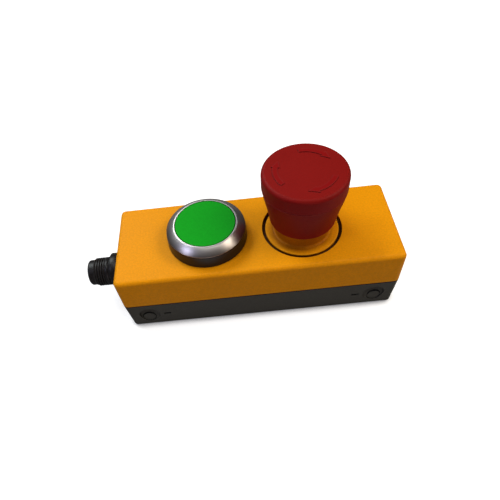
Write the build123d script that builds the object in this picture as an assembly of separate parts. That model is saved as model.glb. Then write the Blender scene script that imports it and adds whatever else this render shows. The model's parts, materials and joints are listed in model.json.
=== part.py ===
from build123d import *

import os
from math import atan, cos, degrees, radians, sin, tan

# Emergency stop switch in a flat oblong housing: a green push button and a red mushroom head
# side by side on a yellow cover, a charcoal base under it, and a round five-pole connector on
# the left end. Millimetres. The origin is the middle of the underside,
# +X runs along the housing towards the mushroom head, +Y to the far long side, +Z up.

# Housing, measured at the parting line between base and cover
housing_length = 110.5
housing_width = 40.0
housing_height = 30.9
parting_height = 15.55
corner_radius = 2.4
base_draft = 2.75
cover_draft = 1.15
base_edge_radius = 1.45
cover_edge_radius = 1.67
seam_chamfer = 0.25
side_wall = 2.4
base_floor = 3.0
cover_plate = 3.0
rib_thickness = 1.6
rib_depth = 4.0

# Clearances
moving_gap = 0.3
screw_gap = 0.1
thread_gap = 0.1
insert_gap = 0.05
panel_hole_gap = 0.15

# Rim seal between base and cover
gasket_width = 1.0
gasket_depth = 0.8

# Cover screws: four, put in from the long sides into legs that hang from the cover,
# placed from the housing's ends
cover_screw_end = 8.65
cover_screw_z = 6.1
plug_radius = 2.55
plug_gap = 0.3
plug_thickness = 1.2
plug_sink = 0.4
screw_boss_half_width = 5.0
screw_boss_height = 11.6
screw_boss_depth = 2.6
screw_head_radius = 2.3
screw_head_height = 1.4
screw_shank_radius = 1.2
screw_socket_radius = 0.9
screw_socket_depth = 0.8
leg_width = 8.0
leg_thickness = 4.2
insert_radius = 1.9
insert_end = 0.3

# Scooped recess round each plug, and the small slot beside it
scoop_radius = 4.3
scoop_shift = 0.6
scoop_z = 8.2
scoop_depth = 1.9
slot_length = 3.0
slot_height = 1.0
slot_depth = 1.0
slot_spacing = 7.95
slot_z = 8.2

# Screw holes through the base floor for fastening the switch down
mount_hole_x = 41.0
mount_hole_radius = 2.75
mount_boss_radius = 5.6
mount_boss_height = 3.0

# Circuit board on four posts
board_length = 68.0
board_width = 30.0
board_thickness = 1.6
board_post_height = 2.4
board_post_radius = 3.0
board_post_bottom = 0.5
board_screw_margin = 3.0
board_screw_radius = 0.95
board_screw_end_gap = 0.3
board_screw_head_radius = 2.2
board_screw_head_height = 1.4

# Round connector on the left end
thread_radius = 6.0
thread_length = 5.5
nose_radius = 5.35
nose_length = 2.3
nose_chamfer = 0.3
thread_chamfer = 1.05
neck_groove_radius = 5.7
neck_groove_length = 0.4
neck_cone_length = 0.9
flange_radius = 7.5
flange_length = 5.3
connector_drop = 0.25
barrel_radius = 6.4
barrel_length = 7.2
socket_radius = 4.4
socket_depth = 8.5
pad_radius = 8.6
pad_thickness = 3.2
oring_thickness = 0.7
locknut_radius = 9.0
locknut_length = 3.0
pin_radius = 0.5
pin_circle_radius = 2.65
pin_recess = 1.2
pin_tail = 1.0
lead_radius = 0.6
lead_bend_share = 0.45
header_inset = 3.0
header_length = 4.0
header_height = 4.0
header_pitch = 2.6
header_margin = 2.0

# Operators: both fit a panel hole in the cover
button_x = -18.4
estop_x = 18.85
panel_barrel_radius = 11.0
ring_nut_height = 3.5
ring_nut_radius = 13.4
ring_nut_notches = 6
ring_nut_notch_width = 2.4
ring_nut_notch_depth = 1.2
gasket_thickness = 0.9

# Green push button
collar_radius = 15.7
collar_top_radius = 15.4
collar_height = 4.9
collar_foot_edge = 0.3
collar_hub = 0.8
collar_lip = 1.4
bezel_radius = 15.3
bezel_seat_radius = 14.6
bezel_shadow_gap = 0.3
bezel_edge_height = 0.3
bezel_cone_height = 2.05
bezel_cone_radius = 12.4
bezel_lip_height = 0.15
bezel_lip_wall = 0.35
bezel_bore = 11.87
bezel_spigot = 1.6
bezel_spigot_wall = 0.65
cap_radius = 11.6
cap_proud = 0.1
cap_edge = 0.25
cap_thickness = 1.6
cap_height = 3.7
cap_skirt_wall = 1.3
cap_socket_wall = 1.5
button_travel = 2.5
button_bore = 9.1
button_rod_radius = 3.5
button_flange_thickness = 1.2
button_flange_drop = 1.3
button_rod_tip = 0.6
button_web_thickness = 1.8
button_spring_radius = 6.4
button_spring_wire = 0.7
button_spring_turns = 4
clip_radius = 5.2
clip_thickness = 0.8
clip_groove_depth = 0.5
clip_mouth_width = 5.2

# Emergency stop: recess in the cover, and the yellow collar, which leaves a ring groove in it
recess_radius = 15.57
recess_depth = 2.4
recess_plate = 3.0
disc_radius = 14.3
disc_sink = 0.1
disc_edge = 0.5
seal_radius = 15.2
neck_radius = 10.5
neck_height = 10.1
neck_fillet_radius = 0.9
estop_bore = 8.2
estop_web_thickness = 1.8

# Mushroom head, heights above the cover's top face
head_top = 28.1
head_bottom = 6.45
head_radius = 15.33
head_top_round = 1.5
head_seam_height = 21.9
head_cone_height = 18.4
head_cone_radius = 14.73
head_waist_height = 13.0
head_waist_radius = 13.6
head_foot_radius = 12.6
head_foot_round = 0.35
head_seam_depth = 0.12
head_seam_width = 0.3
head_roof = 3.0
head_skirt_bore = 11.1
head_cavity_radius = 12.9
head_throat_height = 14.2
head_cavity_height = 18.2

# Three turn arrows raised on the top of the head
arrow_radius = 10.38
arrow_width = 1.76
arrow_sweep = 50.0
arrow_head_width = 3.05
arrow_head_sweep = 18.8
arrow_height = 0.3
arrow_root = 0.3
arrow_first_tail = 94.8
arrow_count = 3

# Emergency stop mechanism
estop_travel = 4.0
stem_radius = 3.6
stem_top_gap = 2.9
stem_seat_radius = 7.2
stem_seat_thickness = 1.4
estop_spring_length = 9.6
estop_spring_radius = 6.0
estop_spring_wire = 0.8
estop_spring_turns = 4
pusher_radius = 7.6
pusher_thickness = 2.0
sleeve_radius = 7.9
sleeve_length = 12.3

# Contact blocks on the board
block_wall = 1.4
block_floor = 1.0
block_roof = 1.1
block_cavity_depth = 10.4
button_cavity_width = 8.0
estop_cavity_width = 6.4
estop_cavity_pitch = 9.2
button_carrier_width = 4.6
estop_carrier_width = 4.0
strip_thickness = 0.6
strip_width = 3.0
strip_reach = 2.4
bridge_thickness = 0.6
bridge_width = 2.4
bridge_end_gap = 0.4
contact_spring_radius = 1.1
contact_spring_wire = 0.35
contact_spring_turns = 3
spring_seat_depth = 0.7
carrier_float = 0.5
carrier_foot = 0.9
strip_roof_gap = 0.4
button_bridge_drop = 2.0

# Heights and places that follow from the sizes above
top_z = housing_height
plate_under_z = top_z - cover_plate
recess_z = top_z - recess_depth
recess_under_z = recess_z - recess_plate
half_length = housing_length / 2
half_width = housing_width / 2
cover_screw_x = half_length - cover_screw_end
scoop_x = cover_screw_x - scoop_shift
slot_x = cover_screw_x - slot_spacing
board_z = base_floor + board_post_height
board_top_z = board_z + board_thickness
board_screw_x = board_length / 2 - board_screw_margin
board_screw_y = board_width / 2 - board_screw_margin
board_screw_z = base_floor + board_post_bottom + board_screw_end_gap
header_x = board_length / 2 - header_inset
cavity_floor_z = board_top_z + block_floor
estop_carrier_z = cavity_floor_z + estop_travel + carrier_float
estop_bridge_z = estop_carrier_z + carrier_foot
estop_strip_z = estop_bridge_z + bridge_thickness + moving_gap
cavity_roof_z = estop_strip_z + strip_thickness + strip_roof_gap
block_top_z = cavity_roof_z + block_roof
panel_hole_radius = panel_barrel_radius + panel_hole_gap

collar_top_z = top_z + collar_height
bezel_edge_z = collar_top_z + bezel_shadow_gap + bezel_edge_height
bezel_top_z = bezel_edge_z + bezel_cone_height
cap_top_z = bezel_top_z + bezel_lip_height + cap_proud
cap_bottom_z = cap_top_z - cap_height
collar_step_z = cap_bottom_z - button_travel - moving_gap
plunger_top_z = collar_step_z - button_flange_drop
button_rod_z = block_top_z + button_travel + moving_gap
clip_z = button_rod_z + button_rod_tip
button_web_z = clip_z + clip_thickness + moving_gap
button_web_top_z = button_web_z + button_web_thickness
button_bridge_z = cavity_roof_z - button_bridge_drop
button_strip_z = button_bridge_z - button_travel - moving_gap - strip_thickness
button_carrier_z = cavity_floor_z + button_travel + carrier_float

disc_top_z = top_z - disc_sink
disc_z = recess_z + gasket_thickness
neck_top_z = top_z + neck_height
pusher_z = block_top_z + estop_travel + moving_gap
estop_web_z = pusher_z + pusher_thickness + moving_gap
estop_web_top_z = estop_web_z + estop_web_thickness
stem_seat_z = estop_web_top_z + estop_spring_length
sleeve_z = stem_seat_z + stem_seat_thickness + moving_gap
sleeve_top_z = sleeve_z + sleeve_length
head_roof_z = top_z + head_top - head_roof
stem_top_z = head_roof_z - stem_top_gap

end_x = -half_length
flange_front_x = end_x - flange_length
groove_front_x = flange_front_x - neck_cone_length - neck_groove_length
thread_front_x = groove_front_x - thread_length
thread_tip_x = thread_front_x - thread_chamfer
nose_x = thread_tip_x - nose_length
socket_floor_x = nose_x + socket_depth
barrel_end_x = end_x + barrel_length
pad_inner_x = end_x + pad_thickness
connector_z = parting_height - connector_drop

along_x = Plane(origin=(0, 0, connector_z), x_dir=(0, 1, 0), z_dir=(1, 0, 0))


def side_face_y(height):
    """How far the base's outer long side lies from the middle at this height."""
    return half_width - (parting_height - height) * tan(radians(base_draft))


def turned(*outline):
    """A body of revolution about the upright axis, from (radius, height) points."""
    return revolve(Plane.XZ * make_face(Polyline(*outline, close=True)), Axis.Z)


def turned_along_x(*outline):
    """A body of revolution about the connector's axis, from (x, radius) points."""
    face = Plane.XZ * make_face(Polyline(*outline, close=True))
    return Pos(0, 0, connector_z) * revolve(face, Axis.X)


def ring(outer, inner, low, high):
    """A flat ring about the upright axis between two heights."""
    return turned((inner, low), (outer, low), (outer, high), (inner, high))


def rod(radius, low, high):
    """An upright round rod between two heights."""
    return Pos(0, 0, low) * Cylinder(radius, high - low, align=(Align.CENTER, Align.CENTER, Align.MIN))


def block(size_x, size_y, low, high):
    """A block centred on the upright axis between two heights."""
    middle = (Align.CENTER, Align.CENTER, Align.MIN)
    return Pos(0, 0, low) * Box(size_x, size_y, high - low, align=middle)


def spring(radius, wire, turns, low, high):
    """A coil spring of round wire that stands between two heights."""
    rise = high - low - wire
    path = Helix(rise / turns, rise, radius)
    section = Plane(origin=path @ 0, z_dir=path % 0) * Circle(wire / 2)
    return Pos(0, 0, low + wire / 2) * sweep(section, path=path, is_frenet=True)


def four_corners(x, y):
    """The same place in all four corners of the housing."""
    return [Pos(side_x * x, side_y * y, 0) for side_x in (-1, 1) for side_y in (-1, 1)]


def housing_half(inset, low, high, upward):
    """The housing's outline, drawn in by inset, from the parting line up or down with its draft."""
    length = housing_length - 2 * inset
    width = housing_width - 2 * inset
    radius = max(corner_radius - inset, 0.6 * corner_radius)
    way = (0, 0, 1) if upward else (0, 0, -1)
    draft = cover_draft if upward else base_draft
    start = Plane(origin=(0, 0, parting_height), z_dir=way)
    return extrude(start * RectangleRounded(length, width, radius), amount=high - low, taper=draft)


def both_long_sides(shape):
    """A shape on the near long side, and its mirror image on the far one."""
    return [shape, mirror(shape, about=Plane.XZ)]


def screw_axis(x):
    """The place and direction of a cover screw: out of the near long side."""
    return Pos(x, 0, cover_screw_z) * Rot(90, 0, 0)


def screw_length_of(radius, inner_y, outer_y, x):
    """A round piece on a cover screw's axis, from inner_y to outer_y off the middle."""
    straight = Cylinder(radius, outer_y - inner_y, align=(Align.CENTER, Align.CENTER, Align.MIN))
    return screw_axis(x) * (Pos(0, 0, inner_y) * straight)


plug_face_y = side_face_y(cover_screw_z) - plug_sink
plug_back_y = plug_face_y - plug_thickness
screw_seat_y = plug_back_y - screw_gap - screw_head_height
screw_boss_y = screw_seat_y - screw_boss_depth + screw_head_height
leg_outer_y = screw_boss_y - moving_gap
leg_inner_y = leg_outer_y - leg_thickness


def make_scoop(x):
    """The slanting cut round a plug: deep at its top and running out at its bottom."""
    lean = 90 - degrees(atan(scoop_depth / (2 * scoop_radius)))
    middle_y = side_face_y(scoop_z) - scoop_depth / 2
    cutter = Cylinder(scoop_radius, 4 * scoop_depth, align=(Align.CENTER, Align.CENTER, Align.MIN))
    return Pos(x, -middle_y, scoop_z) * Rot(lean, 0, 0) * cutter


def make_base():
    outer = housing_half(0, 0, parting_height, False)
    bottom_radius = min(base_edge_radius, 0.9 * (corner_radius - parting_height * tan(radians(base_draft))))
    outer = fillet(outer.faces().sort_by(Axis.Z)[0].edges(), bottom_radius)
    outer = chamfer(outer.faces().sort_by(Axis.Z)[-1].edges(), seam_chamfer)
    base = outer - housing_half(side_wall, base_floor, parting_height, False)

    boss_y = screw_boss_y
    boss = Pos(0, 0, base_floor) * Box(
        2 * screw_boss_half_width, half_width - boss_y, screw_boss_height - base_floor,
        align=(Align.CENTER, Align.MIN, Align.MIN))
    for x in (-cover_screw_x, cover_screw_x):
        for side in both_long_sides(Pos(x, boss_y, 0) * boss):
            base += side & outer

    for place in four_corners(board_screw_x, board_screw_y):
        base += place * rod(board_post_radius, base_floor, board_z)
    for x in (-mount_hole_x, mount_hole_x):
        base += Pos(x, 0, 0) * rod(mount_boss_radius, base_floor, base_floor + mount_boss_height)

    pad = turned_along_x((end_x, 0), (pad_inner_x, 0), (pad_inner_x, pad_radius), (end_x, pad_radius))
    base += pad & block(2 * housing_length, housing_width, 0, parting_height)
    base -= turned_along_x(
        (end_x - 1, 0), (pad_inner_x + 1, 0),
        (pad_inner_x + 1, barrel_radius + panel_hole_gap), (end_x - 1, barrel_radius + panel_hole_gap))

    for x in (-cover_screw_x, cover_screw_x):
        side_x = 1 if x > 0 else -1
        cuts = [
            make_scoop(side_x * scoop_x),
            screw_length_of(plug_radius + plug_gap, screw_seat_y, half_width + 1, x),
            screw_length_of(screw_shank_radius + 2 * screw_gap, boss_y - 1, screw_seat_y + 1, x),
            Pos(side_x * slot_x, -side_face_y(slot_z), slot_z) * Box(slot_length, 2 * slot_depth, slot_height),
        ]
        for cut in cuts:
            for side in both_long_sides(cut):
                base -= side

    for place in four_corners(board_screw_x, board_screw_y):
        base -= place * rod(board_screw_radius + insert_gap, base_floor + board_post_bottom, board_z)
    for x in (-mount_hole_x, mount_hole_x):
        base -= Pos(x, 0, 0) * rod(mount_hole_radius, -1, base_floor + mount_boss_height + 1)
    return base - gasket_band()


def gasket_band():
    """The channel in the base's rim, which the gasket fills."""
    middle = (side_wall - gasket_width) / 2
    outer = RectangleRounded(housing_length - 2 * middle, housing_width - 2 * middle, corner_radius)
    inner_inset = middle + gasket_width
    inner = RectangleRounded(
        housing_length - 2 * inner_inset, housing_width - 2 * inner_inset, 0.6 * corner_radius)
    band = extrude(outer - inner, amount=gasket_depth)
    return Pos(0, 0, parting_height - gasket_depth) * band


def make_cover_gasket():
    gap = turned_along_x(
        (end_x - 1, 0), (pad_inner_x + 1, 0),
        (pad_inner_x + 1, barrel_radius + 2 * panel_hole_gap),
        (end_x - 1, barrel_radius + 2 * panel_hole_gap))
    return gasket_band() - gap


def make_cover():
    rise = top_z - parting_height
    outer = housing_half(0, parting_height, top_z, True)
    top_radius = min(cover_edge_radius, 0.9 * (corner_radius - rise * tan(radians(cover_draft))))
    outer = fillet(outer.faces().sort_by(Axis.Z)[-1].edges(), top_radius)
    outer = chamfer(outer.faces().sort_by(Axis.Z)[0].edges(), seam_chamfer)
    cover = outer - housing_half(side_wall, parting_height, plate_under_z, True)

    recess_boss = Pos(estop_x, 0, 0) * rod(recess_radius + side_wall, recess_under_z, plate_under_z)
    cover += recess_boss & outer
    rib_x = (button_x + estop_x) / 2
    rib = block(rib_thickness, housing_width, plate_under_z - rib_depth, plate_under_z)
    cover += (Pos(rib_x, 0, 0) * rib) & outer

    leg = Pos(0, leg_inner_y, 0) * Box(
        leg_width, leg_thickness, plate_under_z - base_floor - moving_gap,
        align=(Align.CENTER, Align.MIN, Align.MIN))
    for x in (-cover_screw_x, cover_screw_x):
        for side in both_long_sides(Pos(x, 0, base_floor + moving_gap) * leg):
            cover += side
        for side in both_long_sides(screw_length_of(insert_radius, leg_inner_y - 1, leg_outer_y + 1, x)):
            cover -= side

    pad = turned_along_x((end_x, 0), (pad_inner_x, 0), (pad_inner_x, pad_radius), (end_x, pad_radius))
    cover += pad & block(2 * housing_length, housing_width, parting_height, top_z)
    cover -= turned_along_x(
        (end_x - 1, 0), (pad_inner_x + 1, 0),
        (pad_inner_x + 1, barrel_radius + panel_hole_gap), (end_x - 1, barrel_radius + panel_hole_gap))

    cover -= Pos(estop_x, 0, 0) * rod(recess_radius, recess_z, top_z + 1)
    for x in (button_x, estop_x):
        cover -= Pos(x, 0, 0) * rod(panel_hole_radius, parting_height, top_z + 1)
    return cover


def make_threaded_inserts():
    solids = []
    for x in (-cover_screw_x, cover_screw_x):
        sleeve = screw_length_of(insert_radius - insert_gap, leg_inner_y + insert_end, leg_outer_y, x)
        sleeve -= screw_length_of(screw_shank_radius + insert_gap, leg_inner_y, leg_outer_y + 1, x)
        solids += both_long_sides(sleeve)
    return solids


def make_cover_screws():
    solids = []
    for x in (-cover_screw_x, cover_screw_x):
        head_y = screw_seat_y + screw_head_height
        screw = screw_length_of(screw_head_radius, screw_seat_y, head_y, x)
        screw += screw_length_of(screw_shank_radius, leg_inner_y + insert_end, screw_seat_y, x)
        screw -= screw_length_of(screw_socket_radius, head_y - screw_socket_depth, head_y, x)
        solids += both_long_sides(screw)
    return solids


def make_screw_plugs():
    solids = []
    for x in (-cover_screw_x, cover_screw_x):
        solids += both_long_sides(screw_length_of(plug_radius, plug_back_y, plug_face_y, x))
    return solids


def make_circuit_board():
    board = block(board_length, board_width, board_z, board_top_z)
    for place in four_corners(board_screw_x, board_screw_y):
        board -= place * rod(board_screw_radius + 3 * screw_gap, board_z - 1, board_top_z + 1)
    return board


def make_board_screws():
    solids = []
    for place in four_corners(board_screw_x, board_screw_y):
        screw = rod(board_screw_head_radius, board_top_z, board_top_z + board_screw_head_height)
        screw += rod(board_screw_radius, board_screw_z, board_top_z)
        solids.append(place * screw)
    return solids


def pin_places():
    """The connector's five contacts, as (y, height) off its axis: four corners and the middle."""
    corner = pin_circle_radius * cos(radians(45))
    return [(-corner, -corner), (-corner, corner), (0, 0), (corner, -corner), (corner, corner)]


def make_connector_body():
    """The threaded shell: a round nose, the thread, and a neck that widens to the flange."""
    cone_front_x = groove_front_x + neck_groove_length
    oring_seat = barrel_radius + oring_thickness
    return turned_along_x(
        (nose_x, socket_radius), (nose_x, nose_radius - nose_chamfer), (nose_x + nose_chamfer, nose_radius),
        (thread_tip_x, nose_radius), (thread_front_x, thread_radius), (groove_front_x, thread_radius),
        (groove_front_x, neck_groove_radius), (cone_front_x, neck_groove_radius),
        (flange_front_x, flange_radius), (end_x, flange_radius), (end_x, oring_seat),
        (end_x - oring_thickness, oring_seat), (end_x - oring_thickness, barrel_radius),
        (barrel_end_x, barrel_radius), (barrel_end_x, socket_radius))


def make_connector_insert():
    middle_x = (socket_floor_x + barrel_end_x) / 2
    outer = socket_radius - insert_gap
    insert = turned_along_x((socket_floor_x, 0), (barrel_end_x, 0), (barrel_end_x, outer), (socket_floor_x, outer))
    length = barrel_end_x - socket_floor_x + 2
    for y, height in pin_places():
        hole = Rot(0, 90, 0) * Cylinder(pin_radius + insert_gap, length)
        insert -= Pos(middle_x, y, connector_z + height) * hole
    return insert


def make_connector_pins():
    front_x = nose_x + pin_recess
    back_x = barrel_end_x + pin_tail
    solids = []
    for y, height in pin_places():
        pin = Rot(0, 90, 0) * Cylinder(pin_radius, back_x - front_x)
        solids.append(Pos((front_x + back_x) / 2, y, connector_z + height) * pin)
    return solids


def make_connector_oring():
    half = oring_thickness / 2
    section = Pos(end_x - half, barrel_radius + half) * Circle(half - insert_gap)
    return Pos(0, 0, connector_z) * revolve(Plane.XZ * section, Axis.X)


def make_connector_locknut():
    nut = along_x * RegularPolygon(locknut_radius, 6)
    nut = Pos(pad_inner_x, 0, 0) * extrude(nut, amount=locknut_length)
    bore = barrel_radius + thread_gap
    return nut - turned_along_x(
        (pad_inner_x - 1, 0), (pad_inner_x + locknut_length + 1, 0),
        (pad_inner_x + locknut_length + 1, bore), (pad_inner_x - 1, bore))


def make_connector_leads():
    start_x = barrel_end_x + pin_tail
    end_face_x = -header_x - header_length / 2
    run = (end_face_x - start_x) / 4
    end_z = board_top_z + header_height / 2
    along = Vector(1, 0, 0)
    solids = []
    for index, (y, height) in enumerate(pin_places()):
        start = Vector(start_x, y, connector_z + height)
        end = Vector(end_face_x, (index - 2) * header_pitch, end_z)
        slope = (end - along * run) - (start + along * run)
        bend = lead_bend_share * run / tan(radians(slope.get_angle(along) / 2))
        path = FilletPolyline(start, start + along * run, end - along * run, end, radius=bend)
        section = Plane(origin=path @ 0, z_dir=path % 0) * Circle(lead_radius)
        solids.append(sweep(section, path=path))
    return solids


def make_lead_header():
    width = 4 * header_pitch + 2 * header_margin
    return Pos(-header_x, 0, 0) * block(header_length, width, board_top_z, board_top_z + header_height)


def make_ring_nut(top):
    """A notched ring nut that clamps an operator from under the cover."""
    nut = ring(ring_nut_radius, panel_barrel_radius + thread_gap, top - ring_nut_height, top)
    notch = block(2 * ring_nut_notch_depth, ring_nut_notch_width, top - ring_nut_height, top)
    for index in range(ring_nut_notches):
        turn = Rot(0, 0, index * 360 / ring_nut_notches)
        nut -= turn * Pos(ring_nut_radius, 0, 0) * notch
    return nut


def make_button_collar():
    """The black ring on the cover, with its guide barrel going down through the panel hole."""
    guide = button_rod_radius + moving_gap
    hub = panel_barrel_radius + collar_hub
    lip = collar_radius - collar_lip
    groove_z = top_z + gasket_thickness
    spigot = bezel_bore + bezel_spigot_wall
    spigot_z = collar_top_z - bezel_spigot
    return turned(
        (guide, button_web_z), (panel_barrel_radius, button_web_z), (panel_barrel_radius, top_z),
        (hub, top_z), (hub, groove_z), (lip, groove_z), (lip, top_z),
        (collar_radius - collar_foot_edge, top_z), (collar_radius, top_z + collar_foot_edge),
        (collar_top_radius, collar_top_z), (spigot, collar_top_z), (spigot, spigot_z),
        (bezel_bore, spigot_z), (bezel_bore, collar_step_z), (button_bore, collar_step_z),
        (button_bore, button_web_top_z), (guide, button_web_top_z))


def make_button_gasket():
    outer = collar_radius - collar_lip - insert_gap
    inner = panel_barrel_radius + collar_hub + insert_gap
    return ring(outer, inner, top_z, top_z + gasket_thickness)


def make_button_bezel():
    """The metal trim ring: a shallow cone over a shadow gap, with a thin upright lip round the cap."""
    lip = bezel_bore + bezel_lip_wall
    gap_top_z = collar_top_z + bezel_shadow_gap
    spigot = bezel_bore + bezel_spigot_wall
    return turned(
        (bezel_bore, collar_top_z - bezel_spigot), (spigot, collar_top_z - bezel_spigot),
        (spigot, collar_top_z), (bezel_seat_radius, collar_top_z), (bezel_seat_radius, gap_top_z),
        (bezel_radius, gap_top_z), (bezel_radius, bezel_edge_z), (bezel_cone_radius, bezel_top_z),
        (lip, bezel_top_z), (lip, bezel_top_z + bezel_lip_height), (bezel_bore, bezel_top_z + bezel_lip_height))


def make_button_cap():
    inner = cap_radius - cap_skirt_wall
    under = cap_top_z - cap_thickness
    cap = turned(
        (0, under), (inner, under), (inner, cap_bottom_z), (cap_radius, cap_bottom_z),
        (cap_radius, cap_top_z), (0, cap_top_z))
    cap = fillet(cap.faces().sort_by(Axis.Z)[-1].edges(), cap_edge)
    return cap + ring(button_rod_radius + cap_socket_wall, button_rod_radius, cap_bottom_z, under)


def make_button_plunger():
    """The rod under the cap, with the flange that guides it and takes the spring."""
    under = cap_top_z - cap_thickness
    flange = button_bore - moving_gap
    flange_z = plunger_top_z - button_flange_thickness
    groove = button_rod_radius - clip_groove_depth
    clip_top_z = clip_z + clip_thickness
    return turned(
        (0, button_rod_z), (button_rod_radius, button_rod_z), (button_rod_radius, clip_z),
        (groove, clip_z), (groove, clip_top_z), (button_rod_radius, clip_top_z),
        (button_rod_radius, flange_z), (flange, flange_z), (flange, plunger_top_z),
        (button_rod_radius, plunger_top_z), (button_rod_radius, under), (0, under))


def make_button_retaining_clip():
    clip_top_z = clip_z + clip_thickness
    clip = ring(clip_radius, button_rod_radius - clip_groove_depth, clip_z, clip_top_z)
    mouth = block(2 * clip_radius, clip_mouth_width, clip_z, clip_top_z)
    return clip - Pos(clip_radius, 0, 0) * mouth


def make_contact_block(cavity_width, places, stem_width):
    """A moulded block with a cavity for each contact carrier, standing on the board."""
    span = max(places) - min(places)
    outer_x = span + cavity_width + 2 * block_wall
    shell = block(outer_x, block_cavity_depth + 2 * block_wall, board_top_z, block_top_z)
    hole = stem_width + 2 * moving_gap
    for x in places:
        shell -= Pos(x, 0, 0) * block(cavity_width, block_cavity_depth, cavity_floor_z, cavity_roof_z)
        shell -= Pos(x, 0, 0) * block(hole, hole, cavity_roof_z, block_top_z)
        leg_y = block_cavity_depth / 2 - strip_thickness / 2
        for y in (-leg_y, leg_y):
            shell -= Pos(x, y, 0) * block(strip_width, strip_thickness, board_top_z, cavity_floor_z)
    return shell


def make_fixed_contacts(x, strip_z):
    """Two bent strips, one on each side of a carrier, from the board up and inward."""
    solids = []
    outer_y = block_cavity_depth / 2
    for side in (-1, 1):
        leg = block(strip_width, strip_thickness, board_top_z, strip_z + strip_thickness)
        shelf = block(strip_width, strip_reach, strip_z, strip_z + strip_thickness)
        strip = Pos(0, side * (outer_y - strip_thickness / 2), 0) * leg
        strip += Pos(0, side * (outer_y - strip_reach / 2), 0) * shelf
        solids.append(Pos(x, 0, 0) * strip)
    return solids


def make_carrier(width, low, high, bridge_z):
    """A square pusher that holds the moving bridge and a seat for its spring."""
    carrier = block(width, width, low, high)
    carrier -= block(bridge_width, 2 * width, bridge_z, bridge_z + bridge_thickness)
    return carrier - rod(contact_spring_radius + contact_spring_wire, low, low + spring_seat_depth)


def make_bridge(bridge_z):
    reach = block_cavity_depth - 2 * strip_thickness - 2 * bridge_end_gap
    return block(bridge_width, reach, bridge_z, bridge_z + bridge_thickness)


def make_contact_spring(low, carrier_z):
    return spring(contact_spring_radius, contact_spring_wire, contact_spring_turns,
                  low, carrier_z + spring_seat_depth)


def make_estop_collar():
    """The yellow disc in the cover's recess, its neck above and its barrel below."""
    start_radius = neck_radius + neck_fillet_radius
    hollow = 1 - cos(radians(45))
    arc = ThreePointArc(
        (start_radius, disc_top_z),
        (neck_radius + neck_fillet_radius * hollow, disc_top_z + neck_fillet_radius * hollow),
        (neck_radius, disc_top_z + neck_fillet_radius))
    guide = stem_radius + moving_gap
    outline = Polyline(
        (neck_radius, disc_top_z + neck_fillet_radius), (neck_radius, neck_top_z), (estop_bore, neck_top_z),
        (estop_bore, estop_web_top_z), (guide, estop_web_top_z), (guide, estop_web_z),
        (panel_barrel_radius, estop_web_z), (panel_barrel_radius, disc_z), (disc_radius, disc_z),
        (disc_radius, disc_top_z - disc_edge))
    edge = RadiusArc((disc_radius, disc_top_z - disc_edge), (disc_radius - disc_edge, disc_top_z), -disc_edge)
    land = Line((disc_radius - disc_edge, disc_top_z), (start_radius, disc_top_z))
    return revolve(Plane.XZ * make_face(outline + edge + land + arc), Axis.Z)


def make_estop_gasket():
    return ring(seal_radius, panel_barrel_radius + insert_gap, recess_z, recess_z + gasket_thickness)


def make_arrow(tail_angle):
    """One clockwise arrow as seen from above: a curved bar and its pointed head."""
    start = radians(tail_angle)
    neck = radians(tail_angle - arrow_sweep)
    tip = radians(tail_angle - arrow_sweep - arrow_head_sweep)

    def at(radius, angle):
        return (radius * cos(angle), radius * sin(angle))

    inner = arrow_radius - arrow_width / 2
    outer = arrow_radius + arrow_width / 2
    middle = (start + neck) / 2
    outline = ThreePointArc(at(outer, start), at(outer, middle), at(outer, neck))
    outline += Polyline(
        at(outer, neck), at(arrow_radius + arrow_head_width / 2, neck), at(arrow_radius, tip),
        at(arrow_radius - arrow_head_width / 2, neck), at(inner, neck))
    outline += ThreePointArc(at(inner, neck), at(inner, middle), at(inner, start))
    outline += Line(at(inner, start), at(outer, start))
    face = make_face(outline)
    return Pos(0, 0, top_z + head_top - arrow_root) * extrude(face, amount=arrow_root + arrow_height)


def make_estop_head():
    """The red mushroom head: a drum with a flared skirt, hollow over the collar's neck."""
    def up(height):
        return top_z + height

    crown = up(head_top) - head_top_round
    skirt_foot = up(head_bottom)
    rim = RadiusArc((head_radius, crown), (head_radius - head_top_round, up(head_top)), -head_top_round)
    flare = ThreePointArc(
        (head_cone_radius, up(head_cone_height)), (head_waist_radius, up(head_waist_height)),
        (head_foot_radius, skirt_foot + head_foot_round))
    seam = head_seam_width / 2
    band = Polyline(
        (head_cone_radius, up(head_cone_height)),
        (head_radius, up(head_seam_height) - seam),
        (head_radius - head_seam_depth, up(head_seam_height)),
        (head_radius, up(head_seam_height) + seam),
        (head_radius, crown))
    hollow = Polyline(
        (head_foot_radius, skirt_foot + head_foot_round), (head_foot_radius - head_foot_round, skirt_foot),
        (head_skirt_bore, skirt_foot), (head_skirt_bore, up(head_throat_height)),
        (head_cavity_radius, up(head_cavity_height)), (head_cavity_radius, head_roof_z),
        (sleeve_radius, head_roof_z), (sleeve_radius, sleeve_top_z),
        (stem_radius + moving_gap, sleeve_top_z), (stem_radius + moving_gap, head_roof_z),
        (0, head_roof_z), (0, up(head_top)), (head_radius - head_top_round, up(head_top)))
    head = revolve(Plane.XZ * make_face(hollow + rim + band + flare), Axis.Z)
    for index in range(arrow_count):
        head += make_arrow(arrow_first_tail - index * 360 / arrow_count)
    return head


def make_estop_release_sleeve():
    return ring(sleeve_radius, stem_radius + moving_gap, sleeve_z, sleeve_top_z)


def make_estop_stem():
    return turned(
        (0, pusher_z + pusher_thickness), (stem_radius, pusher_z + pusher_thickness),
        (stem_radius, stem_seat_z), (stem_seat_radius, stem_seat_z),
        (stem_seat_radius, stem_seat_z + stem_seat_thickness),
        (stem_radius, stem_seat_z + stem_seat_thickness), (stem_radius, stem_top_z), (0, stem_top_z))


def make_estop_pusher():
    return rod(pusher_radius, pusher_z, pusher_z + pusher_thickness)


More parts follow.
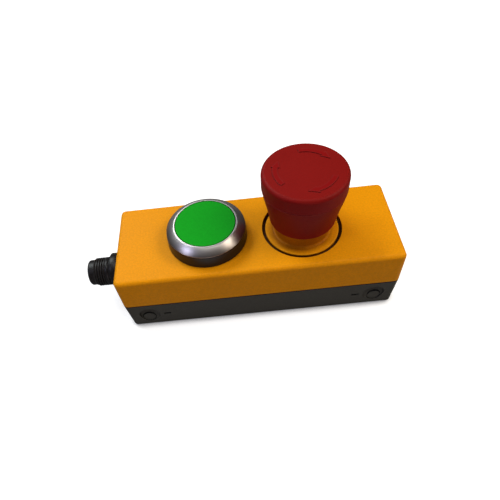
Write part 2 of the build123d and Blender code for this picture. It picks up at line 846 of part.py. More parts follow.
estop_places = (-estop_cavity_pitch / 2, estop_cavity_pitch / 2)
at_button = Pos(button_x, 0, 0)
at_estop = Pos(estop_x, 0, 0)

parts = {
    "base": make_base(),
    "cover": make_cover(),
    "cover_gasket": make_cover_gasket(),
    "threaded_inserts": make_threaded_inserts(),
    "cover_screws": make_cover_screws(),
    "screw_plugs": make_screw_plugs(),
    "circuit_board": make_circuit_board(),
    "board_screws": make_board_screws(),
    "lead_header": make_lead_header(),
    "connector_body": make_connector_body(),
    "connector_insert": make_connector_insert(),
    "connector_pins": make_connector_pins(),
    "connector_oring": make_connector_oring(),
    "connector_locknut": make_connector_locknut(),
    "connector_leads": make_connector_leads(),
    "button_collar": at_button * make_button_collar(),
    "button_gasket": at_button * make_button_gasket(),
    "button_bezel": at_button * make_button_bezel(),
    "button_nut": at_button * make_ring_nut(plate_under_z),
    "button_cap": at_button * make_button_cap(),
    "button_plunger": at_button * make_button_plunger(),
    "button_retaining_clip": at_button * make_button_retaining_clip(),
    "button_return_spring": at_button * spring(
        button_spring_radius, button_spring_wire, button_spring_turns,
        button_web_top_z, plunger_top_z - button_flange_thickness),
    "button_contact_housing": at_button * make_contact_block(button_cavity_width, (0,), button_carrier_width),
    "button_fixed_contacts": [at_button * strip for strip in make_fixed_contacts(0, button_strip_z)],
    "button_contact_carrier": at_button * make_carrier(
        button_carrier_width, button_carrier_z, button_rod_z, button_bridge_z),
    "button_contact_bridge": at_button * make_bridge(button_bridge_z),
    "button_contact_spring": at_button * make_contact_spring(cavity_floor_z, button_carrier_z),
    "estop_collar": at_estop * make_estop_collar(),
    "estop_gasket": at_estop * make_estop_gasket(),
    "estop_nut": at_estop * make_ring_nut(recess_under_z),
    "estop_head": at_estop * make_estop_head(),
    "estop_release_sleeve": at_estop * make_estop_release_sleeve(),
    "estop_stem": at_estop * make_estop_stem(),
    "estop_pusher": at_estop * make_estop_pusher(),
    "estop_return_spring": at_estop * spring(
        estop_spring_radius, estop_spring_wire, estop_spring_turns, estop_web_top_z, stem_seat_z),
    "estop_contact_housing": at_estop * make_contact_block(
        estop_cavity_width, estop_places, estop_carrier_width),
    "estop_fixed_contacts": [
        at_estop * strip for x in estop_places for strip in make_fixed_contacts(x, estop_strip_z)],
    "estop_contact_carriers": [
        at_estop * Pos(x, 0, 0) * make_carrier(estop_carrier_width, estop_carrier_z, pusher_z, estop_bridge_z)
        for x in estop_places],
    "estop_contact_bridges": [at_estop * Pos(x, 0, 0) * make_bridge(estop_bridge_z) for x in estop_places],
    "estop_contact_springs": [
        at_estop * Pos(x, 0, 0) * make_contact_spring(cavity_floor_z, estop_carrier_z) for x in estop_places],
}

os.makedirs("parts", exist_ok=True)
for name, shape in parts.items():
    export_step(Compound(children=shape) if isinstance(shape, list) else shape, f"parts/{name}.step")
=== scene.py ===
"""Emergency stop switch: surface finishes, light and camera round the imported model."""
import json
import math

import bmesh
import bpy
from mathutils import Matrix, Vector


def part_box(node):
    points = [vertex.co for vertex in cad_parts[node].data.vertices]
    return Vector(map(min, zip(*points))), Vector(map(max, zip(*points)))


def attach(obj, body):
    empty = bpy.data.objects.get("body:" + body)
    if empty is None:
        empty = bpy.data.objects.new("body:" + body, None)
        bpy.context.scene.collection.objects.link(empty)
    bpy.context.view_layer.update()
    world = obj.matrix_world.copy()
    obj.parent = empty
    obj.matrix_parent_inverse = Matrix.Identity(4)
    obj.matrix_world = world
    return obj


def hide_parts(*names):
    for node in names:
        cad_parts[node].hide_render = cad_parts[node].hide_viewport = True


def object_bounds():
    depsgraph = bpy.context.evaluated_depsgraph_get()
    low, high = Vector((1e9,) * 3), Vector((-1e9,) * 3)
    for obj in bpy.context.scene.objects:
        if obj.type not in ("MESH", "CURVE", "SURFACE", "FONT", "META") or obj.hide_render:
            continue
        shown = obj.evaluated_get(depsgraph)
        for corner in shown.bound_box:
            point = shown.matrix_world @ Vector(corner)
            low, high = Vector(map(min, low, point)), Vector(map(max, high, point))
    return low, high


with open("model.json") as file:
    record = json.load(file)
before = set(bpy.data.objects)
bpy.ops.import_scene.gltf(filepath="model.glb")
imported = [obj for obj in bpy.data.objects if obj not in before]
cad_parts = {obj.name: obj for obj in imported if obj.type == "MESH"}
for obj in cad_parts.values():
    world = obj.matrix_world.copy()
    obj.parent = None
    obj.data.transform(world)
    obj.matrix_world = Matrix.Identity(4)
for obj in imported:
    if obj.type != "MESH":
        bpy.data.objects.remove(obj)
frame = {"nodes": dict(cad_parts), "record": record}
cad_low, cad_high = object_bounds()

MM = 0.001

# Camera, fitted to the photograph's edges and circles
CAMERA_PLACE = Vector((-4.772, -113.754, 158.018)) * MM
CAMERA_LOOKS = Vector((-0.03267519, 0.5769168, -0.81614909))
CAMERA_UP = Vector((0.09979399, 0.81438768, 0.57167637))
CAMERA_LENS = 30.867
CAMERA_SENSOR = 36.0
CAMERA_SHIFT = (0.0344, 0.0662)
CAMERA_NEAR = 0.01
CAMERA_FAR = 20.0

# Lamps, all turned to one point: name, place, width, height, power and colour
LAMP_AIM = Vector((0, 0, 0.02))
LAMPS = (
    ("ceiling", (0, 0, 0.82), 0.4, 0.4, 1.7, (1.0, 0.98, 0.93)),
    ("right_window", (0.55, -0.02, 0.59), 0.4, 0.36, 3.05, (1.0, 0.89, 0.72)),
    ("back_window", (-0.38, 0.38, 0.615), 0.4, 0.4, 3.2, (0.92, 1.0, 1.0)),
    ("left_window", (-0.56, -0.22, 0.55), 0.15, 0.15, 0.85, (0.77, 0.8, 1.12)),
    ("back_card", (-0.24, 0.52, 0.6), 0.25, 0.25, 0.4, (1.0, 1.0, 1.0)),
    ("front_fill", (0, -0.79, 0.13), 0.4, 0.4, 0.98, (1.0, 0.82, 0.9)),
)
WORLD_FILL = (0.9, 0.95, 1.0)
WORLD_FILL_STRENGTH = 0.06

# Floor: its paper's two shades, what other surfaces get from it, and its glow near and far
FLOOR_HALF = 4.0
FLOOR_GAP = 0.02 * MM
FLOOR_SHADES = (0.58, 0.62)
FLOOR_BOUNCE = 0.22
FLOOR_MIRRORED = 0.55
FLOOR_GLOW_NEAR, FLOOR_GLOW_FAR = 0.72, 1.0
FLOOR_NEAR, FLOOR_FAR = 0.15, 0.6
FLOOR_SHADOW_REACH = 4 * MM
FLOOR_SHADOW_GLOW = 0.3

# Where the round pieces stand, taken from the model
cap_low, cap_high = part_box("button_cap")
bezel_low, bezel_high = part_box("button_bezel")
head_low, head_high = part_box("estop_head")
shell_low, shell_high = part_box("connector_body")
cover_low, cover_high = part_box("cover")
BUTTON_AXIS = ((cap_low + cap_high) / 2).x
ESTOP_AXIS = ((head_low + head_high) / 2).x
CONNECTOR_AXIS = ((shell_low + shell_high) / 2).z
PARTING_HEIGHT = 15.55 * MM
ARROW_FLOOR = head_high.z - 0.15 * MM

# Connector shell, lengths along its axis from the housing's end face and from its own tip
FLANGE_RADIUS = (shell_high.z - shell_low.z) / 2
FLANGE_LENGTH = 5.3 * MM
FLANGE_SOFT = 0.25 * MM
FLANGE_FALL = 0.35 * MM
FLANGE_CORNER = 0.08 * MM
FLANGE_CLEARANCE = 0.05 * MM
BARREL_CLEARANCE = 0.02 * MM
NECK_CONE = 0.9 * MM
NECK_GROOVE = 0.4 * MM
NECK_GROOVE_RADIUS = 5.7 * MM
PLAIN_COLLAR = 1.3 * MM
COLLAR_CHAMFER = 0.12 * MM
SMALL_CHAMFER = 0.1 * MM
THREAD_RADIUS = 6.0 * MM
THREAD_DEPTH = 0.55 * MM
THREAD_PITCH = 1.0 * MM
THREAD_GROOVE = 0.36
THREAD_FADE_IN = 0.5 * THREAD_PITCH
THREAD_FADE_OUT = 0.4 * THREAD_PITCH
THREAD_CHAMFER = 1.05 * MM
THREAD_RINGS = 120
CHAMFER_RINGS = 14
NOSE_RADIUS = 5.35 * MM
NOSE_LENGTH = 2.3 * MM
NOSE_ROUND = 0.8 * MM
NOSE_STEPS = 6
BARREL_RADIUS = 6.4 * MM
SOCKET_RADIUS = 4.4 * MM
SOCKET_DEPTH = 3 * MM
SOCKET_CHAMFER = 0.2 * MM
CONNECTOR_AROUND = 128

# Bezel ring, as in the model but with its cone crowned
BEZEL_RADIUS = (bezel_high.x - bezel_low.x) / 2
BEZEL_SEAT = 14.6 * MM
BEZEL_SHADOW_GAP = 0.3 * MM
BEZEL_EDGE_HEIGHT = 0.3 * MM
BEZEL_CONE_HEIGHT = 2.05 * MM
BEZEL_CONE_RADIUS = 12.4 * MM
BEZEL_LIP_HEIGHT = 0.15 * MM
BEZEL_LIP = 12.22 * MM
BEZEL_BORE = 11.87 * MM
BEZEL_SPIGOT = 12.52 * MM
BEZEL_CROWN = 0.09 * MM
BEZEL_STEPS = 16
BEZEL_AROUND = 160
BEZEL_SHARP = math.radians(20)

# Wear, dirt and painted shade: sizes of patches, reaches and the colours that a surface is multiplied by,
# where the nooks, the neck's foot and the bezel's outer edge are darkened as painted shade
DRIFT_SIZE = 30 * MM
EDGE_RADIUS = 0.6 * MM
EDGE_PATCH = 2 * MM
# Reach of the painted shade in nooks
NOOK_REACH = 12 * MM
SEAM_PATCH = 1.5 * MM
SEAM_RAG = 0.06 * MM
# Painted shadow of the head round the neck's foot, heavier towards the front and left
NECK_REACH = 10.5 * MM
NECK_SPREAD = 1.2
NECK_PATCH = 3 * MM
NECK_RAG = 0.3 * MM
NECK_SHADE = (0.55, 0.46, 0.4)
NECK_SHADE_CENTRE = (ESTOP_AXIS - 0.8 * MM, -1.3 * MM)
# Painted shade on the bezel towards its outer edge, where a crowned cone would turn from the lamps
OUTER_SHADE_START = 0.82
OUTER_SHADE_TINT = (0.36, 0.33, 0.31)


def link(tree, source, target):
    """Joins an output socket to an input socket."""
    tree.links.new(source, target)


def add_node(tree, kind, **settings):
    """A shader node with its properties set by name."""
    made = tree.nodes.new(kind)
    for name, value in settings.items():
        setattr(made, name, value)
    return made


def noise(tree, size, detail=4.0, roughness=0.55):
    """Solid noise whose features are about size metres across."""
    place = add_node(tree, "ShaderNodeTexCoord")
    texture = add_node(tree, "ShaderNodeTexNoise")
    texture.inputs["Scale"].default_value = 1 / size
    texture.inputs["Detail"].default_value = detail
    texture.inputs["Roughness"].default_value = roughness
    link(tree, place.outputs["Object"], texture.inputs["Vector"])
    return texture.outputs["Fac"]


def ranged(tree, source, low, high, start=0.3, end=0.7):
    """A value from low to high as the source goes from start to end."""
    made = add_node(tree, "ShaderNodeMapRange")
    made.inputs["From Min"].default_value = start
    made.inputs["From Max"].default_value = end
    made.inputs["To Min"].default_value = low
    made.inputs["To Max"].default_value = high
    link(tree, source, made.inputs["Value"])
    return made.outputs["Result"]


def calculate(tree, operation, first, second=0.0):
    """The result of a sum on one or two values, each a plain number or a socket."""
    made = add_node(tree, "ShaderNodeMath", operation=operation)
    for socket, value in zip(made.inputs, (first, second)):
        if isinstance(value, (int, float)):
            socket.default_value = value
        else:
            link(tree, value, socket)
    return made.outputs["Value"]


def blend_colors(tree, factor, first, second, mode="MIX"):
    """Mixes two colours, each a plain tuple or a socket."""
    made = add_node(tree, "ShaderNodeMix", data_type="RGBA", blend_type=mode)
    made.clamp_factor = True
    named = {socket.identifier: socket for socket in made.inputs}
    wanted = {"Factor_Float": factor, "A_Color": first, "B_Color": second}
    for identifier, value in wanted.items():
        if isinstance(value, float):
            named[identifier].default_value = value
        elif isinstance(value, tuple):
            named[identifier].default_value = (*value, 1)
        else:
            link(tree, value, named[identifier])
    return next(socket for socket in made.outputs if socket.identifier == "Result_Color")


def bump(tree, height, depth):
    """Raises the surface by depth metres where height is 1."""
    made = add_node(tree, "ShaderNodeBump")
    made.inputs["Distance"].default_value = depth
    made.inputs["Strength"].default_value = 1.0
    link(tree, height, made.inputs["Height"])
    return made.outputs["Normal"]


def object_parts(tree):
    """The place in the object's own space, split into its X, Y and Z sockets."""
    place = add_node(tree, "ShaderNodeTexCoord")
    parts = add_node(tree, "ShaderNodeSeparateXYZ")
    link(tree, place.outputs["Object"], parts.inputs["Vector"])
    return parts.outputs


def around_axis(tree, axis_x, axis_y):
    """Distance from an upright axis, and height along it, as sockets."""
    parts = object_parts(tree)
    across = calculate(tree, "SUBTRACT", parts["X"], axis_x)
    along = calculate(tree, "SUBTRACT", parts["Y"], axis_y)
    squares = calculate(tree, "ADD", calculate(tree, "MULTIPLY", across, across),
                        calculate(tree, "MULTIPLY", along, along))
    return calculate(tree, "SQRT", squares), parts["Z"]


def ambient_occlusion(tree, reach):
    """How open the surface is to its surroundings within reach: 1 in the open, lower in nooks."""
    made = add_node(tree, "ShaderNodeAmbientOcclusion", samples=8)
    made.inputs["Distance"].default_value = reach
    return made.outputs["AO"]


def edge_mask(tree):
    """Near 1 along edges and 0 on flat faces, by how far a softened normal turns."""
    soft = add_node(tree, "ShaderNodeBevel", samples=4)
    soft.inputs["Radius"].default_value = EDGE_RADIUS
    plain = add_node(tree, "ShaderNodeNewGeometry")
    dot = add_node(tree, "ShaderNodeVectorMath", operation="DOT_PRODUCT")
    link(tree, soft.outputs["Normal"], dot.inputs[0])
    link(tree, plain.outputs["Normal"], dot.inputs[1])
    return ranged(tree, dot.outputs["Value"], 1.0, 0.0, 0.93, 0.995)


def new_material(name):
    """A material with its node tree and its surface shader."""
    material = bpy.data.materials.new(name)
    material.use_nodes = True
    tree = material.node_tree
    return material, tree, tree.nodes["Principled BSDF"]


def tint(color, factor):
    """The colour times factor, and no channel above 1."""
    return tuple(min(1.0, channel * factor) for channel in color)


def shade_nooks(tree, base, opening, nook_shade):
    """Painted shade: multiplies the colour by the nook colour where the surface is shut in."""
    return blend_colors(tree, ranged(tree, opening, 1.0, 0.0, 0.2, 0.62), base, nook_shade, "MULTIPLY")


def shade_neck_foot(tree, base, centre):
    """Painted shadow of the head round the foot of the neck, centred a little to the front and left, with a
    ragged edge.
    """
    reach, _ = around_axis(tree, *centre)
    ragged = calculate(tree, "ADD", reach, ranged(tree, noise(tree, NECK_PATCH), -NECK_RAG, NECK_RAG))
    neck_shading = ranged(tree, ragged, 1.0, 0.0, NECK_REACH, NECK_SPREAD * NECK_REACH)
    return blend_colors(tree, neck_shading, base, NECK_SHADE, "MULTIPLY")


def dirty_seam(tree, base, color, width):
    """A dark ragged line of dirt where base and cover meet."""
    away = calculate(tree, "SUBTRACT", object_parts(tree)["Z"], PARTING_HEIGHT)
    away = calculate(tree, "ABSOLUTE", away)
    ragged = calculate(tree, "ADD", away, ranged(tree, noise(tree, SEAM_PATCH), -SEAM_RAG, SEAM_RAG))
    return blend_colors(tree, ranged(tree, ragged, 0.9, 0.0, 0.7 * width, width), base, tint(color, 0.12))


def rubbed_edges(tree, base, color, wear, opening):
    """Paler patches along the edges, but none in the nooks that opening shows."""
    edge = calculate(tree, "MULTIPLY", edge_mask(tree), wear)
    edge = calculate(tree, "MULTIPLY", edge, ranged(tree, noise(tree, EDGE_PATCH), 0.3, 1.0))
    if opening is not None:
        edge = calculate(tree, "MULTIPLY", edge, ranged(tree, opening, 0.0, 1.0, 0.8, 0.95))
    paler = tint(tuple(0.8 * channel + 0.1 for channel in color), 1.15)
    return blend_colors(tree, edge, base, paler)


def plastic(name, color, roughness=0.5, grain=0.4 * MM, depth=0.01 * MM, mottle=0.06, wear=0.15,
            specular=0.5, coat=0.0, speckle=0.05, raised=None, seam=0.0, nook_shade=None, foot=None):
    """Moulded plastic: spark-eroded grain, slow colour drift, uneven gloss and paler rubbed edges.

    raised is a height and the colour above it, seam the width of the dirt line at the parting height,
    the nook colour the painted shade that nooks are multiplied by, and foot the centre of the painted shadow
    round the neck.
    """
    material, tree, shader = new_material(name)
    drift = noise(tree, DRIFT_SIZE, detail=3.0)
    fine = noise(tree, grain, detail=3.0, roughness=0.6)
    base = blend_colors(tree, ranged(tree, drift, 0.0, 1.0), tint(color, 1 - mottle), tint(color, 1 + mottle))
    dots = ranged(tree, noise(tree, 1.8 * grain, detail=2.0), 1 - 2 * speckle, 1.0, 0.35, 0.65)
    base = blend_colors(tree, 1.0, base, dots, "MULTIPLY")
    opening = None
    if raised is not None:
        floor_z, deeper = raised
        above = calculate(tree, "GREATER_THAN", object_parts(tree)["Z"], floor_z)
        base = blend_colors(tree, above, base, deeper)
    # Painted shade in nooks, darker where the surface is more shut in
    if nook_shade is not None:
        opening = ambient_occlusion(tree, NOOK_REACH)
        base = shade_nooks(tree, base, opening, nook_shade)
    # Painted shadow of the head round the neck's foot
    if foot is not None:
        base = shade_neck_foot(tree, base, foot)
    if seam:
        base = dirty_seam(tree, base, color, seam)
    link(tree, rubbed_edges(tree, base, color, wear, opening), shader.inputs["Base Color"])
    gloss = calculate(tree, "ADD", ranged(tree, drift, roughness - 0.04, roughness + 0.05),
                      ranged(tree, fine, -0.03, 0.03))
    link(tree, gloss, shader.inputs["Roughness"])
    shader.inputs["Specular IOR Level"].default_value = specular
    shader.inputs["Coat Weight"].default_value = coat
    link(tree, bump(tree, fine, depth), shader.inputs["Normal"])
    return material


def turned_metal(name, color, roughness, axis_x, pitch, outer):
    """Satin metal with fine lathe lines about an upright axis, darker towards its outer edge by painted
    shade.
    """
    material, tree, shader = new_material(name)
    distance, height = around_axis(tree, axis_x, 0)
    lines = add_node(tree, "ShaderNodeTexNoise", noise_dimensions="2D")
    lines.inputs["Scale"].default_value = 1 / pitch
    lines.inputs["Detail"].default_value = 3.0
    pair = add_node(tree, "ShaderNodeCombineXYZ")
    link(tree, distance, pair.inputs["X"])
    link(tree, height, pair.inputs["Y"])
    link(tree, pair.outputs["Vector"], lines.inputs["Vector"])
    smudge = noise(tree, 6 * MM, detail=5.0, roughness=0.6)
    base = blend_colors(tree, ranged(tree, smudge, 0.0, 1.0), tint(color, 0.95), tint(color, 1.03))
    # Painted shade: darker towards the outer edge
    outer_shade = ranged(tree, distance, 0.0, 1.0, OUTER_SHADE_START * outer, outer)
    base = blend_colors(tree, outer_shade, base, OUTER_SHADE_TINT, "MULTIPLY")
    link(tree, base, shader.inputs["Base Color"])
    shader.inputs["Metallic"].default_value = 1.0
    gloss = calculate(tree, "ADD", ranged(tree, smudge, roughness - 0.012, roughness + 0.012),
                      ranged(tree, lines.outputs["Fac"], -0.02, 0.02))
    link(tree, gloss, shader.inputs["Roughness"])
    link(tree, bump(tree, lines.outputs["Fac"], 0.0005 * MM), shader.inputs["Normal"])
    return material


def plain_metal(name, color, roughness):
    """Plated or rolled metal with a slight cloudiness."""
    material, tree, shader = new_material(name)
    cloud = noise(tree, 1.5 * MM, detail=5.0)
    base = blend_colors(tree, ranged(tree, cloud, 0.0, 1.0), tint(color, 0.85), tint(color, 1.05))
    link(tree, base, shader.inputs["Base Color"])
    shader.inputs["Metallic"].default_value = 1.0
    link(tree, ranged(tree, cloud, roughness - 0.06, roughness + 0.1), shader.inputs["Roughness"])
    link(tree, bump(tree, cloud, 0.006 * MM), shader.inputs["Normal"])
    return material


def rubber(name, color):
    """Matt seal rubber with a dusty bloom."""
    material, tree, shader = new_material(name)
    dust = noise(tree, 1 * MM, detail=6.0, roughness=0.65)
    base = blend_colors(tree, ranged(tree, dust, 0.0, 0.4), color, tint(color, 3.0))
    link(tree, base, shader.inputs["Base Color"])
    link(tree, ranged(tree, dust, 0.65, 0.85), shader.inputs["Roughness"])
    shader.inputs["Specular IOR Level"].default_value = 0.08
    link(tree, bump(tree, dust, 0.02 * MM), shader.inputs["Normal"])
    return material


finishes = {
    # Yellow and charcoal: nooks darkened by painted shade; the yellow also has a painted shadow round the
    # neck's foot
    "yellow_plastic": plastic(
        "yellow_moulding", (0.86, 0.32, 0.001), mottle=0.035, specular=0.09, speckle=0.06, seam=0.12 * MM,
        nook_shade=(0.2, 0.13, 0.08), foot=NECK_SHADE_CENTRE),
    "charcoal_plastic": plastic(
        "charcoal_moulding", (0.08, 0.079, 0.065), roughness=0.6, depth=0.02 * MM, specular=0.05,
        seam=0.28 * MM, nook_shade=(0.3, 0.3, 0.3)),
    "black_plastic": plastic(
        "black_moulding", (0.01, 0.0085, 0.0085), roughness=0.36, depth=0.006 * MM, specular=0.27),
    # The seal's brown is painted bounce light from the yellow groove walls round it
    "black_rubber": rubber("seal_rubber", (0.045, 0.017, 0.006)),
    "red_plastic": plastic(
        "red_moulding", (0.228, 0.0058, 0.0044), mottle=0.05, depth=0.008 * MM, specular=0.085,
        raised=(ARROW_FLOOR, (0.225, 0.003, 0.003))),
    "green_plastic": plastic(
        "green_moulding", (0.005, 0.34, 0.012), roughness=0.6, mottle=0.04, depth=0.006 * MM, specular=0.06),
    "satin_metal": turned_metal(
        "turned_bezel", (0.66, 0.62, 0.61), 0.34, BUTTON_AXIS, 0.12 * MM, BEZEL_RADIUS),
    "zinc_steel": plain_metal("zinc_steel", (0.62, 0.62, 0.6), 0.32),
    "brass": plain_metal("brass", (0.75, 0.53, 0.22), 0.28),
    "plated_contact": plain_metal("gold_plate", (0.9, 0.66, 0.28), 0.22),
    "circuit_board": plastic("solder_mask", (0.015, 0.14, 0.05), roughness=0.3, grain=1 * MM, coat=0.3),
    "lead_insulation": plastic("lead_insulation", (0.06, 0.07, 0.3), roughness=0.4, grain=0.8 * MM),
    "ivory_plastic": plastic("ivory_moulding", (0.72, 0.69, 0.6)),
}

for subpart in frame["record"]["subparts"]:
    cad_object = frame["nodes"][subpart["node"]]
    cad_object.data.materials.clear()
    cad_object.data.materials.append(finishes[subpart["material_slot"]])


def make_ring(name, profile, around, spot_at, finish):
    """A closed ring of smooth faces: spot_at gives a profile point's place at each share of a turn."""
    build = bmesh.new()
    loops = []
    for first, second in profile:
        loops.append([build.verts.new(spot_at(first, second, index / around)) for index in range(around)])
    for here, beyond in zip(loops, loops[1:] + loops[:1]):
        for index in range(around):
            after = (index + 1) % around
            build.faces.new((here[index], beyond[index], beyond[after], here[after]))
    bmesh.ops.recalc_face_normals(build, faces=build.faces)
    mesh = bpy.data.meshes.new(name)
    build.to_mesh(mesh)
    build.free()
    mesh.shade_smooth()
    mesh.materials.append(finish)
    ring = bpy.data.objects.new(name, mesh)
    bpy.context.scene.collection.objects.link(ring)
    return ring


def thread_cut(x, start, end, turn):
    """How deep the thread is cut at this place along the axis and turn about it."""
    if not start < x < end:
        return 0.0
    phase = ((x - start) / THREAD_PITCH + turn) % 1.0
    reach = max(0.0, 1.0 - abs(phase - 0.5) / THREAD_GROOVE)
    groove = reach * reach * (3 - 2 * reach)
    fade = min(1.0, (x - start) / THREAD_FADE_IN, (end - x) / THREAD_FADE_OUT)
    return THREAD_DEPTH * fade * groove


def make_connector_shell():
    """The threaded shell: rounded nose, helical thread, plain collar, neck, flange and barrel."""
    end = cover_low.x
    flange_front = end - FLANGE_LENGTH
    cone_front = flange_front - NECK_CONE
    collar_back = cone_front - NECK_GROOVE
    nose_tip = shell_low.x
    nose_back = nose_tip + NOSE_LENGTH
    crest_front = nose_back + THREAD_CHAMFER
    thread_end = collar_back - PLAIN_COLLAR

    profile = [(nose_tip + SOCKET_DEPTH, SOCKET_RADIUS), (nose_tip + SOCKET_CHAMFER, SOCKET_RADIUS),
               (nose_tip, SOCKET_RADIUS + SOCKET_CHAMFER)]
    for step in range(NOSE_STEPS + 1):
        turn = step / NOSE_STEPS * math.pi / 2
        profile.append((nose_tip + NOSE_ROUND * (1 - math.cos(turn)),
                        NOSE_RADIUS - NOSE_ROUND * (1 - math.sin(turn))))
    profile += [(nose_back - SMALL_CHAMFER, NOSE_RADIUS), (nose_back, NOSE_RADIUS)]
    for step in range(1, CHAMFER_RINGS + 1):
        share = step / CHAMFER_RINGS
        radius = NOSE_RADIUS + share * (THREAD_RADIUS - NOSE_RADIUS)
        profile.append((nose_back + share * THREAD_CHAMFER, radius))
    for step in range(1, THREAD_RINGS + 1):
        profile.append((crest_front + step / THREAD_RINGS * (thread_end - crest_front), THREAD_RADIUS))
    profile += [
        (collar_back - COLLAR_CHAMFER, THREAD_RADIUS), (collar_back, THREAD_RADIUS - COLLAR_CHAMFER),
        (collar_back + SMALL_CHAMFER, NECK_GROOVE_RADIUS), (cone_front - SMALL_CHAMFER, NECK_GROOVE_RADIUS),
        (cone_front, NECK_GROOVE_RADIUS + SMALL_CHAMFER),
        (flange_front - FLANGE_SOFT, FLANGE_RADIUS - FLANGE_FALL),
        (flange_front, FLANGE_RADIUS - FLANGE_CORNER), (flange_front + FLANGE_SOFT, FLANGE_RADIUS),
        (end - FLANGE_CLEARANCE, FLANGE_RADIUS), (end - BARREL_CLEARANCE, BARREL_RADIUS),
        (shell_high.x, BARREL_RADIUS), (shell_high.x, SOCKET_RADIUS)]

    def spot_at(x, radius, share):
        cut = thread_cut(x, nose_back, thread_end, share)
        cut_radius = radius - min(cut, max(0.0, radius - NOSE_RADIUS))
        angle = 2 * math.pi * share
        return x, cut_radius * math.cos(angle), CONNECTOR_AXIS + cut_radius * math.sin(angle)

    shell = make_ring("connector_shell", profile, CONNECTOR_AROUND, spot_at, finishes["black_plastic"])
    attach(shell, "housing")
    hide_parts("connector_body")


def make_bezel_ring():
    """The metal trim ring with its cone slightly crowned, over a shadow gap, and its lip round the cap."""
    cone_top = bezel_high.z - BEZEL_LIP_HEIGHT
    edge = cone_top - BEZEL_CONE_HEIGHT
    gap_top = edge - BEZEL_EDGE_HEIGHT
    seat = gap_top - BEZEL_SHADOW_GAP
    slope = math.atan2(BEZEL_CONE_HEIGHT, BEZEL_RADIUS - BEZEL_CONE_RADIUS)

    profile = [(BEZEL_BORE, bezel_low.z), (BEZEL_SPIGOT, bezel_low.z), (BEZEL_SPIGOT, seat),
               (BEZEL_SEAT, seat), (BEZEL_SEAT, gap_top), (BEZEL_RADIUS, gap_top)]
    for step in range(BEZEL_STEPS + 1):
        share = step / BEZEL_STEPS
        rise = 4 * BEZEL_CROWN * share * (1 - share)
        radius = BEZEL_RADIUS + share * (BEZEL_CONE_RADIUS - BEZEL_RADIUS)
        height = edge + share * BEZEL_CONE_HEIGHT
        profile.append((radius + rise * math.sin(slope), height + rise * math.cos(slope)))
    profile += [(BEZEL_LIP, cone_top), (BEZEL_LIP, bezel_high.z), (BEZEL_BORE, bezel_high.z)]

    def spot_at(radius, z, share):
        angle = 2 * math.pi * share
        return BUTTON_AXIS + radius * math.cos(angle), radius * math.sin(angle), z

    ring = make_ring("bezel_ring", profile, BEZEL_AROUND, spot_at, finishes["satin_metal"])
    ring.data.set_sharp_from_angle(angle=BEZEL_SHARP)
    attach(ring, "housing")
    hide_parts("button_bezel")


def mix_shaders(tree, factor, first, second):
    """One shader where factor is 0 and the other where it is 1."""
    mix = add_node(tree, "ShaderNodeMixShader")
    link(tree, factor, mix.inputs["Fac"])
    link(tree, first, mix.inputs[1])
    link(tree, second, mix.inputs[2])
    return mix.outputs["Shader"]


def floor_glow(tree):
    """What the floor adds to its own light: more of it far off, and less in nooks at the foot, which paints a
    contact shadow there.
    """
    place = add_node(tree, "ShaderNodeTexCoord")
    reach = add_node(tree, "ShaderNodeVectorMath", operation="LENGTH")
    link(tree, place.outputs["Object"], reach.inputs[0])
    far = ranged(tree, reach.outputs["Value"], FLOOR_GLOW_NEAR, FLOOR_GLOW_FAR, FLOOR_NEAR, FLOOR_FAR)
    # Painted contact shadow: the glow drops where the floor is shut in by the switch
    opening = ambient_occlusion(tree, FLOOR_SHADOW_REACH)
    glow = add_node(tree, "ShaderNodeEmission")
    link(tree, calculate(tree, "MULTIPLY", far, ranged(tree, opening, FLOOR_SHADOW_GLOW, 1.0, 0.5, 0.8)),
         glow.inputs["Strength"])
    return glow.outputs["Emission"]


def floor_shown(tree):
    """1 where a ray sees the white floor: the camera's, and in part a mirrored one in front of the switch."""
    ray = add_node(tree, "ShaderNodeLightPath").outputs
    parts = object_parts(tree)
    mirrored = calculate(tree, "MULTIPLY", calculate(tree, "LESS_THAN", parts["Y"], cover_low.y),
                         calculate(tree, "GREATER_THAN", parts["X"], cover_low.x))
    mirrored = calculate(tree, "MULTIPLY", mirrored, ray["Is Glossy Ray"])
    mirrored = calculate(tree, "MULTIPLY", mirrored, FLOOR_MIRRORED)
    seen = calculate(tree, "MAXIMUM", ray["Is Camera Ray"], ray["Is Transmission Ray"])
    return calculate(tree, "MAXIMUM", seen, mirrored)


def make_floor():
    """A wide pale floor that keeps the shadow: white to the camera, and duller to the bounced light."""
    mesh = bpy.data.meshes.new("floor")
    corners = [(x * FLOOR_HALF, y * FLOOR_HALF, 0) for x, y in ((-1, -1), (1, -1), (1, 1), (-1, 1))]
    mesh.from_pydata(corners, [], [(0, 1, 2, 3)])
    floor = bpy.data.objects.new("floor", mesh)
    floor.location.z = cad_low.z - FLOOR_GAP
    bpy.context.scene.collection.objects.link(floor)
    material = bpy.data.materials.new("floor_paper")
    material.use_nodes = True
    tree = material.node_tree
    tree.nodes.clear()
    white = add_node(tree, "ShaderNodeBsdfDiffuse")
    dark, light = ((shade,) * 3 for shade in FLOOR_SHADES)
    link(tree, blend_colors(tree, noise(tree, 2 * MM, detail=5.0), dark, light), white.inputs["Color"])
    seen = add_node(tree, "ShaderNodeAddShader")
    link(tree, white.outputs["BSDF"], seen.inputs[0])
    link(tree, floor_glow(tree), seen.inputs[1])
    dull = add_node(tree, "ShaderNodeBsdfDiffuse")
    dull.inputs["Color"].default_value = (FLOOR_BOUNCE, FLOOR_BOUNCE, FLOOR_BOUNCE, 1)
    out = add_node(tree, "ShaderNodeOutputMaterial")
    link(tree, mix_shaders(tree, floor_shown(tree), dull.outputs["BSDF"], seen.outputs["Shader"]),
         out.inputs["Surface"])
    mesh.materials.append(material)


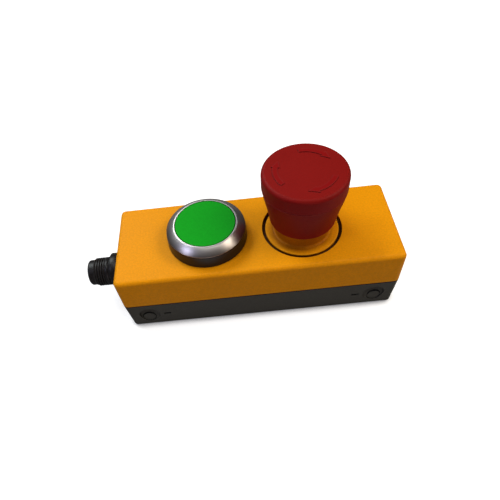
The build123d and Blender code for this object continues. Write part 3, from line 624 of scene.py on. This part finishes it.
def make_world():
    """White behind the floor's edge, and a plain pale fill for the object."""
    world = bpy.data.worlds.new("studio")
    bpy.context.scene.world = world
    world.use_nodes = True
    tree = world.node_tree
    tree.nodes.clear()
    fill = add_node(tree, "ShaderNodeBackground")
    fill.inputs["Color"].default_value = (*WORLD_FILL, 1)
    fill.inputs["Strength"].default_value = WORLD_FILL_STRENGTH
    white = add_node(tree, "ShaderNodeBackground")
    white.inputs["Color"].default_value = (1, 1, 1, 1)
    white.inputs["Strength"].default_value = 1.0
    ray = add_node(tree, "ShaderNodeLightPath")
    out = add_node(tree, "ShaderNodeOutputWorld")
    link(tree, mix_shaders(tree, ray.outputs["Is Camera Ray"], fill.outputs["Background"],
                           white.outputs["Background"]), out.inputs["Surface"])


def make_lamp(name, place, width, height, power, color):
    """A soft rectangular lamp at place, turned to the switch."""
    lamp = bpy.data.lights.new(name, "AREA")
    lamp.shape = "RECTANGLE"
    lamp.size = width
    lamp.size_y = height
    lamp.energy = power
    lamp.color = color
    made = bpy.data.objects.new(name, lamp)
    made.location = place
    made.rotation_mode = "QUATERNION"
    made.rotation_quaternion = (LAMP_AIM - Vector(place)).to_track_quat("-Z", "Y")
    bpy.context.scene.collection.objects.link(made)


def make_camera():
    """The camera at the photograph's viewing angle."""
    camera = bpy.data.cameras.new("camera")
    camera.lens = CAMERA_LENS
    camera.sensor_width = CAMERA_SENSOR
    camera.shift_x, camera.shift_y = CAMERA_SHIFT
    camera.clip_start = CAMERA_NEAR
    camera.clip_end = CAMERA_FAR
    made = bpy.data.objects.new("camera", camera)
    right = CAMERA_LOOKS.cross(CAMERA_UP).normalized()
    up = right.cross(CAMERA_LOOKS).normalized()
    turn = Matrix((right, up, -CAMERA_LOOKS.normalized())).transposed().to_4x4()
    made.matrix_world = Matrix.Translation(CAMERA_PLACE) @ turn
    bpy.context.scene.collection.objects.link(made)
    bpy.context.scene.camera = made


make_connector_shell()
make_bezel_ring()
make_camera()
make_floor()
make_world()
for lamp_row in LAMPS:
    make_lamp(*lamp_row)

bpy.context.scene.view_settings.view_transform = "Standard"
